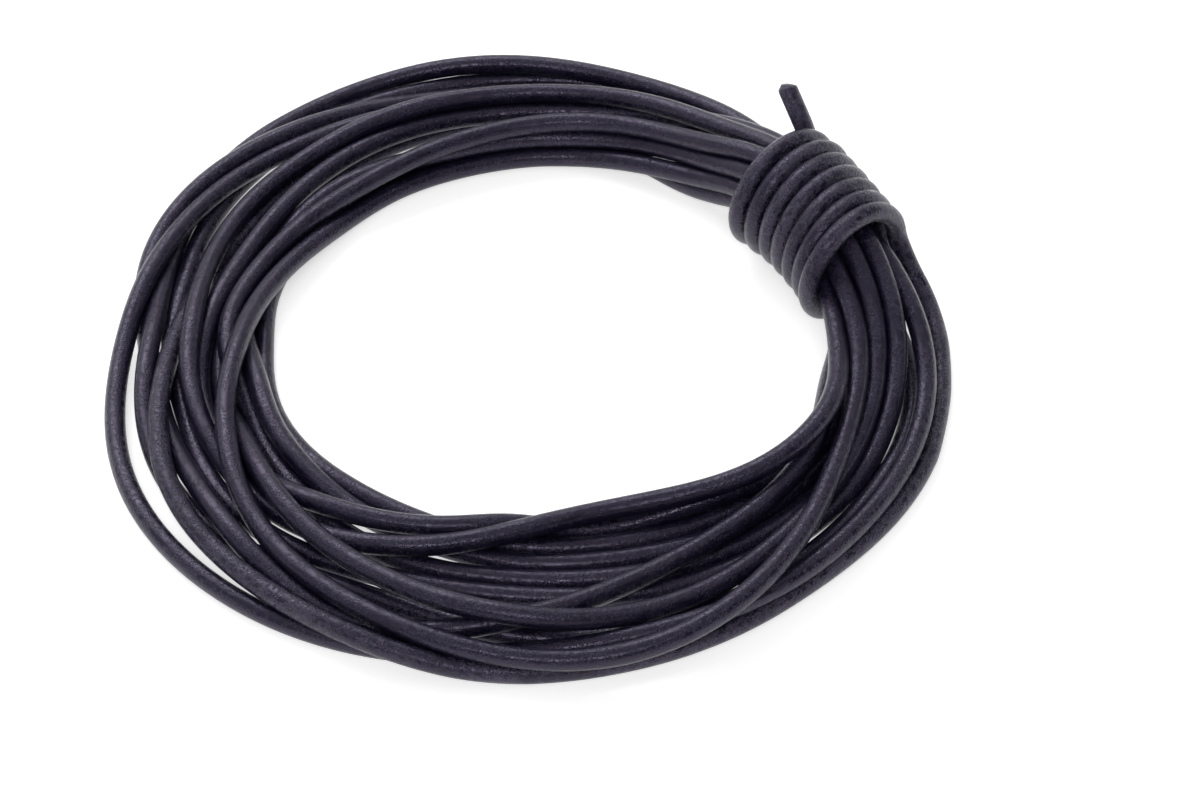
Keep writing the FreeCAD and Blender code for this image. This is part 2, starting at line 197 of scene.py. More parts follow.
@dataclass
class LoopLay:
    """How the twelve loops lie: read from above, then settled on the table.

    Lengths in this class are millimetres from the ring's middle.

    Attributes:
        sight: The camera that the stations are read through.
        cord: The cord's thickness.
        tie_azimuth: Where the tie stands round the ring, in degrees.
        tie_turn: How far the tie's outward way is turned from there.
        tie_reach: How far out the tie's middle is.
        tie_height: How high the tie's axis is.
        core_step: How far the three inner strands are from the tie's axis.
        rim_step: How far the outer strands are from it.
        lead_place: Where the last loop passes the tie, outward and up from its axis.
        held_degrees: How far from the tie the strands run straight.
        grid_step: Degrees from one point of a loop to the next.
        floor: The least height of a strand's line.
        tier_height: How much higher a strand starts for each cord under it.
        sight_height: The height at which the stations are read.
        clear_degrees: How far from a held run a station has to be.
        first_reach: Where every free point starts before it is aimed.
        partings: How often strands are pushed apart in each round.
        parting_share: How much of an overlap each strand gives way.
        sight_pull: How much of the way to its place in the photo a point goes.
        weight: How far a strand sinks in each round.
        ease: How much of a bend's kink is taken out in each round.
        ease_spans: Over how many points kinks are looked for.
        stiff_points: How many points a push reaches.
        stiffness: How much a push is shared on, before that reach is counted.
        hair: A length that keeps a division from zero.
    """

    sight: Sight
    cord: float = 3.0
    tie_azimuth: float = 21.6
    tie_turn: float = 6.0
    tie_reach: float = 45.8
    tie_height: float = 10.4
    core_step: float = 1.8
    rim_step: float = 4.65
    lead_place: tuple[float, float] = (9.8, -7.6)
    held_degrees: float = 13.0
    station_step: float = 20.0
    first_station: float = 50.0
    grid_step: float = 3.0
    floor: float = 1.58
    tier_height: float = 2.6
    sight_height: float = 5.0
    clear_degrees: float = 4.0
    first_reach: float = 50.0
    aims: int = 30
    rounds: int = 700
    partings: int = 8
    parting_share: float = 0.35
    sight_pull: float = 0.08
    largest_pull: float = 1.0
    weight: float = 0.03
    ease: float = 0.5
    ease_spans: tuple[int, ...] = (1, 2, 3)
    stiff_points: float = 4.0
    stiffness: float = 1.5
    hair: float = 1e-9

    def grid(self) -> np.ndarray:
        """Return the azimuths, in degrees, at which every loop has a point."""
        return self.tie_azimuth + np.arange(0.0, 360.0 + self.grid_step / 2, self.grid_step)

    def crossing(self, place: TiePlace) -> tuple[float, float]:
        """Find a strand's place in the tie.

        Args:
            place: Which of the tie's twelve places.

        Returns:
            Millimetres outward from the tie's axis, and up from it.
        """
        ring, degrees = place.value
        step = self.core_step if ring == 1 else self.rim_step
        turn = math.radians(degrees)
        return step * math.cos(turn), step * math.sin(turn)

    def held_run(self, place: TiePlace | None, away: np.ndarray) -> tuple[np.ndarray, np.ndarray]:
        """Lay the straight run of a strand through the tie.

        Args:
            place: Its place in the tie, or None for the last loop's lead.
            away: Degrees from the tie at each point.

        Returns:
            The reach and the height of each point.
        """
        outward, upward = self.lead_place if place is None else self.crossing(place)
        middle = self.tie_reach * math.cos(math.radians(self.tie_turn))
        reach = (middle + outward) / np.cos(np.radians(away - self.tie_turn))
        return reach, np.full_like(away, self.tie_height + upward)

    def as_seen(self, reach: np.ndarray, height: np.ndarray,
                azimuth: np.ndarray) -> tuple[np.ndarray, np.ndarray]:
        """Find where points show when they are read at sight height.

        Args:
            reach: Millimetres from the ring's middle.
            height: Millimetres above the table.
            azimuth: Degrees round the ring.

        Returns:
            The reach and azimuth that the camera's line through each has.
        """
        eye = (self.sight.place() - RING_MIDDLE) / MM
        turn = np.radians(azimuth)
        share = (eye[2] - self.sight_height) / (eye[2] - height)
        x = eye[0] + (reach * np.cos(turn) - eye[0]) * share
        y = eye[1] + (reach * np.sin(turn) - eye[1]) * share
        seen = np.degrees(np.arctan2(y, x))
        return np.hypot(x, y), azimuth + (seen - azimuth + 180.0) % 360.0 - 180.0

    def smooth(self, x: np.ndarray, y: np.ndarray, at: np.ndarray) -> np.ndarray:
        """Draw a smooth line through a few values.

        Args:
            x: Where the values stand, rising.
            y: The values.
            at: Where the line is wanted.

        Returns:
            The line's values.
        """
        slope = np.gradient(y, x)
        i = np.clip(np.searchsorted(x, at) - 1, 0, len(x) - 2)
        gap = x[i + 1] - x[i]
        t = np.clip((at - x[i]) / gap, 0.0, 1.0)
        return ((2 * t**3 - 3 * t**2 + 1) * y[i] + (t**3 - 2 * t**2 + t) * gap * slope[i]
                + (3 * t**2 - 2 * t**3) * y[i + 1] + (t**3 - t**2) * gap * slope[i + 1])

    def lay_out(self) -> tuple[np.ndarray, np.ndarray, np.ndarray, list[np.ndarray]]:
        """Place every loop by its listed stations, before anything settles.

        Returns:
            Reach and height of each loop's points, which of them may move,
            and the line on which each loop shows at every whole degree.
        """
        grid = self.grid()
        stations = self.first_station + self.station_step * np.arange(len(LOOPS[0].reach))
        leaving = grid <= self.tie_azimuth + self.held_degrees
        coming = grid >= self.tie_azimuth + 360.0 - self.held_degrees
        free = ~(leaving | coming)
        reach = np.full((len(LOOPS), len(grid)), self.first_reach)
        height = np.zeros_like(reach)
        shows = []
        for k, loop in enumerate(LOOPS):
            reach[k, leaving], height[k, leaving] = self.held_run(
                loop.leaves, grid[leaving] - self.tie_azimuth)
            reach[k, coming], height[k, coming] = self.held_run(
                loop.returns, grid[coming] - self.tie_azimuth - 360.0)
            ends = [np.flatnonzero(leaving)[-1], np.flatnonzero(coming)[0]]
            marks = np.concatenate([grid[ends[:1]], stations, grid[ends[1:]]])
            tops = self.cord / 2 + self.tier_height * np.array(loop.tier)
            heights = np.concatenate([height[k, ends[:1]], tops, height[k, ends[1:]]])
            height[k, free] = np.interp(grid[free], marks, heights)
            end_reach, end_azimuth = self.as_seen(reach[k, ends], height[k, ends], grid[ends])
            inside = ((stations > end_azimuth[0] + self.clear_degrees)
                      & (stations < end_azimuth[1] - self.clear_degrees))
            where = np.concatenate([end_azimuth[:1], stations[inside], end_azimuth[1:]])
            values = np.concatenate([end_reach[:1], np.array(loop.reach)[inside], end_reach[1:]])
            whole = np.arange(grid[0], grid[-1] + 1.0)
            shows.append(self.smooth(where, values, whole))
            for _ in range(self.aims):
                reach[k] += self.astray(reach[k], height[k], shows[k]) * free
        return reach, height, free, shows

    def astray(self, reach: np.ndarray, height: np.ndarray, shows: np.ndarray) -> np.ndarray:
        """Measure how far a loop is from where the photograph shows it.

        Args:
            reach: The loop's reach at each grid point.
            height: The loop's height there.
            shows: The line on which it shows, at every whole degree.

        Returns:
            Millimetres to move outward at each grid point.
        """
        grid = self.grid()
        seen, azimuth = self.as_seen(reach, height, grid)
        return np.interp(azimuth, grid[0] + np.arange(len(shows)), shows) - seen

    def spread(self, count: int) -> np.ndarray:
        """Share a push at one point with its neighbours, as a stiff cord does.

        Args:
            count: How many points a loop has.

        Returns:
            The share that each point passes on to each other point.
        """
        away = np.abs(np.arange(count)[:, None] - np.arange(count)[None, :])
        share = np.clip(1.0 - away / self.stiff_points, 0.0, None)
        return share / self.stiff_points * self.stiffness

    def ease_kinks(self, values: np.ndarray, free: np.ndarray) -> None:
        """Straighten the loops' bends a little, short ones and longer ones.

        Args:
            values: The loops' reach or height at each point, changed in place.
            free: 1 where a point may move, 0 where the tie holds it.
        """
        for s in self.ease_spans:
            kink = (values[:, :-4 * s] - 4 * values[:, s:-3 * s] + 6 * values[:, 2 * s:-2 * s]
                    - 4 * values[:, 3 * s:-s] + values[:, 4 * s:]) / 16
            values[:, 2 * s:-2 * s] -= self.ease * kink * free[:, 2 * s:-2 * s]

    def settle(self) -> tuple[np.ndarray, np.ndarray]:
        """Let the loops sink, bend smoothly and come to lie on each other.

        Returns:
            Reach and height of each loop's points once they lie still.
        """
        reach, height, loose, shows = self.lay_out()
        free = np.tile(loose.astype(float), (len(LOOPS), 1))
        one, other = np.triu_indices(len(LOOPS), 1)
        meet = np.eye(len(LOOPS))[:, one] - np.eye(len(LOOPS))[:, other]
        spread = self.spread(reach.shape[1])
        for _ in range(self.rounds):
            height -= self.weight * free
            for k in range(len(LOOPS)):
                error = self.astray(reach[k], height[k], shows[k])
                pull = np.clip(error, -self.largest_pull, self.largest_pull)
                reach[k] += self.sight_pull * pull * free[k]
            for values in (reach, height):
                self.ease_kinks(values, free)
            for _ in range(self.partings):
                aside, above = reach[one] - reach[other], height[one] - height[other]
                apart = np.hypot(aside, above) + self.hair
                push = self.parting_share * np.clip(self.cord - apart, 0.0, None) / apart
                reach += (meet @ (push * aside)) @ spread * free
                height += (meet @ (push * above)) @ spread * free
                np.copyto(height, np.maximum(height, self.floor), where=free > 0)
        apart = np.hypot(reach[one] - reach[other], height[one] - height[other])
        LOG.info("strands settled, at least %.2f mm apart", apart.min())
        return reach, height

    def points(self) -> list[np.ndarray]:
        """Work out every loop's points.

        Returns:
            One array for each loop, in metres in the row frame, from the
            tie round to the tie again.
        """
        reach, height = self.settle()
        turn = np.radians(self.grid())
        loops = [np.column_stack([r * np.cos(turn), r * np.sin(turn), z]) * MM + RING_MIDDLE
                 for r, z in zip(reach, height)]
        LOG.info("%d loops laid, the highest at %.1f mm", len(LOOPS), height.max())
        return loops


@dataclass
class Tie:
    """The cord's own end, wound round all the strands, with its lead and tail.

    Lengths in this class are millimetres from the tie's middle: outward from
    the ring, along the way the cord travels, and up from the table.

    Attributes:
        lean: How far each turn's outer side is ahead of its middle.
        reach_out: How far the turns' line is from the axis, inward and outward.
        reach_up: The same, up and down.
        swell_up: How much of the swell goes up and down.
        lead_gap: How many of the last loop's points make way for the lead.
        start_end: Where the cord's beginning runs, along the tie.
        swell: How much wider the turns are, after each whole turn.
        shift: How far outward they are moved, after each whole turn.
        lead: The way up from the last loop to the turns.
        tail: The way from the turns to the cut end.
    """

    lay: LoopLay
    turns: int = 7
    pitch: float = 3.12
    lean: float = 2.6
    reach_out: float = 8.8
    reach_up: float = 8.8
    points_a_turn: int = 24
    swell_up: float = 0.4
    lead_gap: int = 2
    start_end: tuple[float, ...] = (-9.0, -6.0, -3.0)
    swell: tuple[float, ...] = (0.1, -0.5, -0.65, -0.65, -0.6, -0.4, -0.3, -0.3)
    shift: tuple[float, ...] = (0.1, 0.5, 0.65, 0.65, 0.55, 0.35, -0.45, -1.3)
    lead: tuple[tuple[float, float, float], ...] = (
        (2.0, -33.2, 1.58), (5.2, -28.1, 1.58), (8.3, -22.5, 1.6),
        (9.9, -17.5, 2.4), (10.2, -14.2, 4.0), (9.5, -11.6, 6.6))
    tail: tuple[tuple[float, float, float], ...] = (
        (6.8, 13.1, 12.0), (6.1, 13.0, 14.2), (5.6, 13.5, 16.4),
        (5.2, 15.2, 18.6), (5.0, 17.1, 20.4), (4.8, 18.1, 21.6))

    def half_length(self) -> float:
        """Return half of the binding's length along the tie."""
        return self.turns * self.pitch / 2

    def in_row_frame(self, places: np.ndarray) -> np.ndarray:
        """Turn places in the tie into the row frame.

        Args:
            places: Rows of outward, along and up, in millimetres.

        Returns:
            The same places in metres in the row frame.
        """
        azimuth = math.radians(self.lay.tie_azimuth)
        turn = azimuth + math.radians(self.lay.tie_turn)
        middle = self.lay.tie_reach * np.array([math.cos(azimuth), math.sin(azimuth), 0.0])
        outward = np.array([math.cos(turn), math.sin(turn), 0.0])
        along = np.array([-math.sin(turn), math.cos(turn), 0.0])
        up = np.array([0.0, 0.0, 1.0])
        return (middle + places @ np.array([outward, along, up])) * MM + RING_MIDDLE

    def start(self) -> np.ndarray:
        """Return the straight starting end inside the tie, in the row frame."""
        outward, upward = self.lay.crossing(LOOPS[0].leaves)
        return self.in_row_frame(np.array([
            (outward, along, self.lay.tie_height + upward) for along in self.start_end]))

    def winding(self) -> np.ndarray:
        """Work out the seven turns, from the lead's side up, over and inward.

        Returns:
            The turns' points, in metres in the row frame.
        """
        count = self.turns * self.points_a_turn
        turned = np.arange(count + 1) / self.points_a_turn
        angle = turned * 2 * math.pi
        marks = np.arange(len(self.swell))
        swell = self.lay.smooth(marks, np.array(self.swell), turned)
        shift = self.lay.smooth(marks, np.array(self.shift), turned)
        outward = shift + (self.reach_out + swell) * np.cos(angle)
        upward = self.lay.tie_height + (self.reach_up + swell * self.swell_up) * np.sin(angle)
        along = -self.half_length() + self.pitch * turned + self.lean * np.cos(angle)
        return self.in_row_frame(np.column_stack([outward, along, upward]))

    def last_run(self, loop: np.ndarray) -> np.ndarray:
        """Join the last loop to the lead, the turns and the tail.

        Args:
            loop: The last loop's points.

        Returns:
            All the points from the last loop's start to the tail's tip.
        """
        lead = self.in_row_frame(np.array(self.lead))
        gap = np.linalg.norm(loop - lead[0], axis=1)
        half = len(loop) // 2
        keep = half + int(np.argmin(gap[half:])) - self.lead_gap
        tail = self.in_row_frame(np.array(self.tail))
        return np.vstack([loop[:keep], lead, self.winding(), tail])


@dataclass
class CordPiece:
    """One run of the cord: a closed leather tube that follows its spline.

    Attributes:
        route: The points that its line is drawn by.
        start_rounding: How far from its start the edge of the cut is rounded.
        end_rounding: The same at its end.
        end_slant: How far the end cut leans.
        swell: How much its thickness wanders, as a share.
        flatten: How much it is pressed flat here and there, as a share.
        swell_rings: How many rings one wave of that swell takes.
        flatten_rings: The same for the flattening.
        lean_rings: The same for the way that it is flattened.
        drift_width: How wide each of these wanders is.
        cut_radius: The cut face's radius, as a share of the cord's.
        slant_reach: How far the slant reaches, in roundings.
        same_place: Two points nearer than this are one.
    """

    part: CordPart
    route: np.ndarray
    far_end: str
    replaces: tuple[str, ...]
    start_rounding: float = 0.0
    end_rounding: float = 0.0
    end_slant: float = 0.0
    step: float = 0.6 * MM
    sides: int = 24
    seed: int = 3
    swell: float = 0.012
    swell_rings: int = 17
    flatten: float = 0.022
    flatten_rings: int = 29
    lean_rings: int = 60
    drift_width: float = 0.6
    cut_radius: float = 0.45
    slant_reach: float = 4.0
    spline_order: int = 3
    spline_steps: int = 6
    same_place: float = 1e-7
    radius: float = CORD_DIAMETER / 2
    line: np.ndarray = field(default_factory=lambda: np.zeros((0, 3)))

    def follow_spline(self) -> np.ndarray:
        """Run a NURBS spline on the route's points and read its line.

        Returns:
            The spline's own line, in metres, at an even step.
        """
        curve = bpy.data.curves.new(self.part.value + "_line", "CURVE")
        curve.dimensions = "3D"
        curve.resolution_u = self.spline_steps
        spline = curve.splines.new("NURBS")
        spline.points.add(len(self.route) - 1)
        for point, place in zip(spline.points, self.route):
            point.co = (*place, 1.0)
        spline.order_u = self.spline_order
        spline.use_endpoint_u = True
        holder = bpy.data.objects.new(self.part.value + "_line", curve)
        bpy.context.scene.collection.objects.link(holder)
        bpy.context.view_layer.update()
        drawn = bpy.data.meshes.new_from_object(holder)
        read = np.array([v.co[:] for v in drawn.vertices])
        bpy.data.objects.remove(holder)
        bpy.data.curves.remove(curve)
        bpy.data.meshes.remove(drawn)
        gaps = np.linalg.norm(np.diff(read, axis=0), axis=1)
        read = read[np.concatenate([[True], gaps > self.same_place])]
        gone = np.concatenate([[0.0], np.cumsum(np.linalg.norm(np.diff(read, axis=0), axis=1))])
        even = np.linspace(0.0, gone[-1], int(gone[-1] / self.step) + 1)
        return np.column_stack([np.interp(even, gone, read[:, i]) for i in range(3)])

    def frames(self, line: np.ndarray) -> tuple[np.ndarray, np.ndarray, np.ndarray]:
        """Carry a cross direction along the line without twist.

        Args:
            line: The points that the tube follows.

        Returns:
            The line's direction and two cross directions at each point.
        """
        ahead = np.gradient(line, axis=0)
        ahead /= np.linalg.norm(ahead, axis=1)[:, None]
        side = np.zeros_like(line)
        first = np.cross(ahead[0], [0.0, 0.0, 1.0])
        side[0] = first / np.linalg.norm(first)
        for i in range(1, len(line)):
            turned = side[i - 1] - ahead[i] * np.dot(side[i - 1], ahead[i])
            side[i] = turned / np.linalg.norm(turned)
        return ahead, side, np.cross(ahead, side)

    def drift(self, count: int, reach: int, seed: int) -> np.ndarray:
        """Make an even, slow wander along the cord.

        Args:
            count: How many rings there are.
            reach: How many rings one wave takes.
            seed: Which wander.

        Returns:
            One value a ring, mostly from -1 to 1.
        """
        marks = np.random.default_rng(seed).normal(0.0, self.drift_width, count // reach + 4)
        return np.interp(np.arange(count) / reach, np.arange(len(marks)), marks)

    def tube(self) -> tuple[np.ndarray, list[tuple[int, ...]], np.ndarray]:
        """Shape the tube's skin round its line.

        Returns:
            Its vertices, its faces, and how far along the cord each ring is.
        """
        line = self.line
        ahead, side, over = self.frames(line)
        count = len(line)
        gone = np.arange(count) * self.step
        wander = self.drift(count, self.swell_rings, self.seed)
        squash = self.drift(count, self.flatten_rings, self.seed + 1)
        lean = self.drift(count, self.lean_rings, self.seed + 2) * math.pi
        angle = np.arange(self.sides) * 2 * math.pi / self.sides
        radius = self.radius * (1 + self.swell * wander[:, None]
                                + self.flatten * squash[:, None]
                                * np.cos(2 * (angle[None, :] + lean[:, None])))
        slide = np.zeros_like(radius)
        for rounding, left, sign in ((self.start_rounding, gone, -1.0),
                                     (self.end_rounding, gone[-1] - gone, 1.0)):
            if rounding > 0:
                near = np.clip(1 - left / rounding, 0.0, 1.0)
                radius *= (self.cut_radius + (1 - self.cut_radius) * np.sqrt(1 - near**2))[:, None]
                if sign > 0:
                    slant = np.clip(1 - left / (self.slant_reach * rounding), 0.0, 1.0) ** 2
                    slide += self.end_slant * slant[:, None] * np.cos(angle)[None, :]
        rings = (line[:, None, :] + radius[..., None] * (
            np.cos(angle)[None, :, None] * side[:, None, :]
            + np.sin(angle)[None, :, None] * over[:, None, :])
            + slide[..., None] * ahead[:, None, :])
        caps = np.array([rings[0].mean(axis=0), rings[-1].mean(axis=0)])
        vertices = np.vstack([rings.reshape(-1, 3), caps])
        faces: list[tuple[int, ...]] = []
        for i in range(count - 1):
            a, b = i * self.sides, (i + 1) * self.sides
            for j in range(self.sides):
                k = (j + 1) % self.sides
                faces.append((a + j, a + k, b + k, b + j))
        last = (count - 1) * self.sides
        for j in range(self.sides):
            k = (j + 1) % self.sides
            faces.append((count * self.sides, k, j))
            faces.append((count * self.sides + 1, last + j, last + k))
        return vertices, faces, gone

    def build(self, start_at: float, dress: bpy.types.Material) -> bpy.types.Object:
        """Make the piece, map it, dress it and tell the frame about it.

        Args:
            start_at: How far along the whole cord this piece starts, in metres.
            dress: The leather.

        Returns:
            The finished piece.
        """
        self.line = self.follow_spline()
        vertices, faces, gone = self.tube()
        mesh = bpy.data.meshes.new(self.part.value)
        mesh.from_pydata(vertices.tolist(), [], faces)
        around = np.arange(self.sides + 1) / self.sides
        unwrap = mesh.uv_layers.new(name="cord")
        ring_of = np.minimum(np.arange(len(vertices)) // self.sides, len(gone) - 1)
        for polygon in mesh.polygons:
            ids = list(polygon.vertices)
            columns = [v % self.sides for v in ids]
            wraps = max(columns) - min(columns) > self.sides // 2
            for loop, v, column in zip(polygon.loop_indices, ids, columns):
                turn = around[self.sides] if wraps and column == 0 else around[column]
                unwrap.data[loop].uv = (start_at + gone[ring_of[v]], turn)
        mesh.polygons.foreach_set("use_smooth", [True] * len(mesh.polygons))
        mesh.materials.append(dress)
        mesh.validate()
        piece = bpy.data.objects.new(self.part.value, mesh)
        bpy.context.scene.collection.objects.link(piece)
        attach(piece, BODY)
        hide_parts(*self.replaces)
        LOG.info("%s: %.0f mm of cord, %d faces", piece.name, gone[-1] / MM, len(faces))
        return piece


@dataclass(frozen=True)
class SkinMix:
    """How the skin's noises make its flakes, its cracks and its height.

    Attributes:
        large: What the large noise adds to the flakes.
        grain: What the grain adds to the flakes.
        stretch: How much more some stretches of the cord are rubbed.
        stretch_scale: One over the length of such a stretch, in metres.
        flake_edge: The mixed noise at which a flake starts and is whole.
        crack_width: How far from its middle value the noise still is a crack.
        crack_where: The large noise at which cracks start and are deepest.
        lifted: What grain, flakes and large noise add to the height.
        crack_depth: What a crack takes off it.
        flake_draw: How much closer the large noise is along the cord and across.
        crack_draw: The same for the cracks' noise.
        detail: How many finer grains each noise holds.
        rough: How strong they are in the grain and the large noise.
        soft: How strong they are in the other noises.
        middle: The noises' middle value.
    """

    large: float = 0.55
    grain: float = 0.45
    stretch: float = 0.35
    stretch_scale: float = 95.0
    flake_edge: tuple[float, float] = (0.475, 0.545)
    crack_width: float = 0.035
    crack_where: tuple[float, float] = (0.40, 0.60)
    lifted: tuple[float, float, float] = (0.6, 0.35, 0.5)
    crack_depth: float = 0.45
    flake_draw: tuple[float, float, float] = (0.8, 1.0, 1.0)
    crack_draw: tuple[float, float, float] = (1.0, 0.25, 0.25)
    detail: float = 2.0
    rough: float = 0.6
    soft: float = 0.5
    middle: float = 0.5


class CordGroups:
    """Node groups that the leather finishes share, each built once."""

    def __init__(self) -> None:
        """Build the cord's own space and the leather's skin."""
        self.mix = SkinMix()
        self.space = self.cord_space()
        self.skin = self.leather_skin()

    def new_group(self, name: str, inputs: tuple[tuple[str, str], ...],
                  outputs: tuple[tuple[str, str], ...]) -> bpy.types.NodeTree:
        """Start a node group with its sockets.

        Args:
            name: The group's name.
            inputs: Name and kind of each input.
            outputs: Name and kind of each output.

        Returns:
            The group, with its two end nodes.
        """
        tree = bpy.data.node_groups.new(name, "ShaderNodeTree")
        for side, sockets in (("INPUT", inputs), ("OUTPUT", outputs)):
            for label, kind in sockets:
                tree.interface.new_socket(name=label, in_out=side,
                                          socket_type="NodeSocket" + kind)
        tree.nodes.new("NodeGroupInput").name = "in"
        tree.nodes.new("NodeGroupOutput").name = "out"
        return tree

    def reckon(self, tree: bpy.types.NodeTree, kind: str,
               one: bpy.types.NodeSocket,
               other: bpy.types.NodeSocket | float) -> bpy.types.NodeSocket:
        """Add a Math node on two values.

        Args:
            tree: The tree that gets the node.
            kind: Which operation.
            one: The first value's socket.
            other: The second value's socket, or a plain number.

        Returns:
            The node's output.
        """
        node = tree.nodes.new("ShaderNodeMath")
        node.operation = kind
        tree.links.new(one, node.inputs[0])
        if isinstance(other, (int, float)):
            node.inputs[1].default_value = other
        else:
            tree.links.new(other, node.inputs[1])
        return node.outputs["Value"]

    def noise(self, tree: bpy.types.NodeTree, place: bpy.types.NodeSocket,
              size: bpy.types.NodeSocket | float, stretch: tuple[float, float, float],
              rough: float) -> bpy.types.NodeSocket:
        """Add a noise that may be stretched along or round the cord.

        Args:
            tree: The tree that gets the nodes.
            place: Where on the cord, as a vector in metres.
            size: One over the grain's size in metres.
            stretch: How much closer the grain is along the cord and across.
            rough: How strong its finer grains are.

        Returns:
            The noise's value.
        """
        mapping = tree.nodes.new("ShaderNodeMapping")
        mapping.inputs["Scale"].default_value = stretch
        tree.links.new(place, mapping.inputs["Vector"])
        node = tree.nodes.new("ShaderNodeTexNoise")
        node.inputs["Detail"].default_value = self.mix.detail
        node.inputs["Roughness"].default_value = rough
        tree.links.new(mapping.outputs["Vector"], node.inputs["Vector"])
        if isinstance(size, (int, float)):
            node.inputs["Scale"].default_value = size
        else:
            tree.links.new(size, node.inputs["Scale"])
        return node.outputs["Fac"]

    def cord_space(self) -> bpy.types.NodeTree:
        """Turn the cord's map into a place on a straight, round cord.

        Returns:
            A group that puts out a vector in metres: along, and two across.
        """
        tree = self.new_group("cord_space", (), (("Place", "Vector"),))
        nodes, links = tree.nodes, tree.links
        unwrap = nodes.new("ShaderNodeUVMap")
        unwrap.uv_map = "cord"
        split = nodes.new("ShaderNodeSeparateXYZ")
        links.new(unwrap.outputs["UV"], split.inputs["Vector"])
        turn = self.reckon(tree, "MULTIPLY", split.outputs["Y"], 2 * math.pi)
        join = nodes.new("ShaderNodeCombineXYZ")
        links.new(split.outputs["X"], join.inputs["X"])
        for way, axis in (("COSINE", "Y"), ("SINE", "Z")):
            across = self.reckon(tree, way, turn, 0.0)
            reach = self.reckon(tree, "MULTIPLY", across, CORD_DIAMETER / 2)
            links.new(reach, join.inputs[axis])
        links.new(join.outputs["Vector"], nodes["out"].inputs["Place"])
        return tree

    def stretch_range(self, tree: bpy.types.NodeTree, value: bpy.types.NodeSocket,
                      given: tuple[float, float], wanted: tuple[float, float],
                      soft: bool = False) -> bpy.types.NodeSocket:
        """Stretch a value from one range to another.

        Args:
            tree: The tree that gets the node.
            value: The value's socket.
            given: The range that it comes in.
            wanted: The range that it leaves in.
            soft: Whether the ends of the range are eased.

        Returns:
            The stretched value.
        """
        node = tree.nodes.new("ShaderNodeMapRange")
        if soft:
            node.interpolation_type = "SMOOTHSTEP"
        for label, number in zip(("From Min", "From Max", "To Min", "To Max"), given + wanted):
            node.inputs[label].default_value = number
        tree.links.new(value, node.inputs["Value"])
        return node.outputs["Result"]

    def leather_skin(self) -> bpy.types.NodeTree:
        """Make the skin: flakes rubbed smooth, grain between them, and cracks across.

        Returns:
            A group that puts out the skin's height, its cracks, its rubbed
            flakes and how worn each stretch of the cord is.
        """
        tree = self.new_group(
            "leather_skin",
            (("Place", "Vector"), ("Grain", "Float"), ("Flakes", "Float"),
             ("Cracks", "Float"), ("Rubbed", "Float")),
            (("Height", "Float"), ("Crack", "Float"), ("Flake", "Float"), ("Stretch", "Float")))
        mix, given = self.mix, tree.nodes["in"].outputs
        place = given["Place"]
        even = (1.0, 1.0, 1.0)
        grain = self.noise(tree, place, given["Grain"], even, mix.rough)
        large = self.noise(tree, place, given["Flakes"], mix.flake_draw, mix.rough)
        across = self.noise(tree, place, given["Cracks"], mix.crack_draw, mix.soft)
        stretch = self.noise(tree, place, mix.stretch_scale, even, mix.soft)
        mixed = self.reckon(tree, "ADD", self.reckon(tree, "MULTIPLY", large, mix.large),
                            self.reckon(tree, "MULTIPLY", grain, mix.grain))
        rubbing = self.reckon(tree, "SUBTRACT", stretch, mix.middle)
        reach = self.reckon(tree, "ADD", mixed,
                            self.reckon(tree, "MULTIPLY", rubbing, mix.stretch))
        pushed = self.reckon(tree, "ADD", reach, given["Rubbed"])
        flake = self.stretch_range(tree, pushed, mix.flake_edge, (0.0, 1.0), True)
        aside = self.reckon(tree, "SUBTRACT", across, mix.middle)
        off = self.reckon(tree, "ABSOLUTE", aside, 0.0)
        thin = self.stretch_range(tree, off, (0.0, mix.crack_width), (1.0, 0.0), True)
        where = self.stretch_range(tree, large, mix.crack_where, (0.0, 1.0))
        crack = self.reckon(tree, "MULTIPLY", thin, where)
        by_grain, by_flake, by_large = (
            self.reckon(tree, "MULTIPLY", value, share)
            for value, share in zip((grain, flake, large), mix.lifted))
        ridge = self.reckon(tree, "ADD", self.reckon(tree, "ADD", by_grain, by_flake), by_large)
        sunk = self.reckon(tree, "MULTIPLY", crack, mix.crack_depth)
        height = self.reckon(tree, "SUBTRACT", ridge, sunk)
        for name, value in (("Height", height), ("Crack", crack), ("Flake", flake),
                            ("Stretch", stretch)):
            tree.links.new(value, tree.nodes["out"].inputs[name])
        return tree


